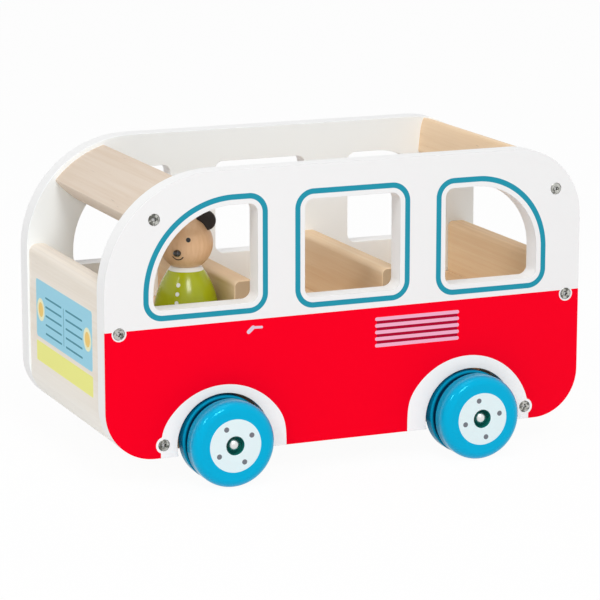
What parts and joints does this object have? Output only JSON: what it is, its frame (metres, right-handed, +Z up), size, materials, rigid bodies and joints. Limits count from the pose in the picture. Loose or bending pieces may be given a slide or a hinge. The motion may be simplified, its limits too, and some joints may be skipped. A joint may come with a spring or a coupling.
{
  "type": "toy bus",
  "caption": "Wooden toy bus with painted side panels, open roof, bench seats, free-turning wheels and a loose peg driver.",
  "frame": {"origin": "on the ground under the middle of the bus", "axes": "+X forward, +Y to the bus's left, +Z up"},
  "size_m": [0.28, 0.178, 0.1695],
  "materials": {
    "panel_paint": "satin white paint on plywood with a red lower half and teal window lines",
    "pale_board": "bare pale plywood, matt, with a printed front",
    "header_wood": "bare solid beech, matt",
    "cabin_wood": "bare plywood, matt",
    "axle_steel": "plain drawn steel",
    "wheel_paint": "gloss blue paint on turned wood with a white printed hub",
    "washer": "moulded nylon",
    "cap_steel": "polished steel",
    "screw_steel": "zinc plated steel",
    "driver_paint": "gloss lime paint on turned wood",
    "driver_wood": "clear varnished turned wood",
    "ear_felt": "wool felt",
    "nose_bead": "gloss black"
  },
  "bodies": {
    "bus": {"left_side_panel": "panel_paint", "right_side_panel": "panel_paint", "front_board": "pale_board", "rear_board": "pale_board", "front_header": "header_wood", "rear_header": "header_wood", "floor_board": "cabin_wood", "front_bench_back": "cabin_wood", "front_bench_seat": "cabin_wood", "front_bench_riser": "cabin_wood", "middle_bench_back": "cabin_wood", "middle_bench_seat": "cabin_wood", "middle_bench_riser": "cabin_wood", "rear_bench_seat": "cabin_wood", "rear_bench_riser": "cabin_wood", "front_axle_keeper": "cabin_wood", "rear_axle_keeper": "cabin_wood", "front_axle": "axle_steel", "rear_axle": "axle_steel", "front_left_spacer": "washer", "front_right_spacer": "washer", "rear_left_spacer": "washer", "rear_right_spacer": "washer", "front_left_cap": "cap_steel", "front_right_cap": "cap_steel", "rear_left_cap": "cap_steel", "rear_right_cap": "cap_steel", "left_panel_screws": "screw_steel", "right_panel_screws": "screw_steel", "bench_screws": "screw_steel"},
    "front_left_wheel": {"front_left_wheel": "wheel_paint"},
    "front_right_wheel": {"front_right_wheel": "wheel_paint"},
    "rear_left_wheel": {"rear_left_wheel": "wheel_paint"},
    "rear_right_wheel": {"rear_right_wheel": "wheel_paint"},
    "driver": {"driver_body": "driver_paint", "driver_head": "driver_wood", "driver_neck_dowel": "cabin_wood", "driver_left_ear": "ear_felt", "driver_right_ear": "ear_felt", "driver_nose": "nose_bead"}
  },
  "joints": [
    {"name": "front_left_wheel_spin", "type": "hinge", "parent": "bus", "child": "front_left_wheel", "pos_m": [0.0731, 0.0765, 0.02365], "axis": [0, 1, 0], "continuous": true},
    {"name": "front_right_wheel_spin", "type": "hinge", "parent": "bus", "child": "front_right_wheel", "pos_m": [0.0731, -0.0765, 0.02365], "axis": [0, 1, 0], "continuous": true},
    {"name": "rear_left_wheel_spin", "type": "hinge", "parent": "bus", "child": "rear_left_wheel", "pos_m": [-0.0731, 0.0765, 0.02365], "axis": [0, 1, 0], "continuous": true},
    {"name": "rear_right_wheel_spin", "type": "hinge", "parent": "bus", "child": "rear_right_wheel", "pos_m": [-0.0731, -0.0765, 0.02365], "axis": [0, 1, 0], "continuous": true},
    {"name": "driver_slide", "type": "slide", "parent": "bus", "child": "driver", "axis": [0, 1, 0], "range_m": [-0.0772, 0.0072]}
  ]
}
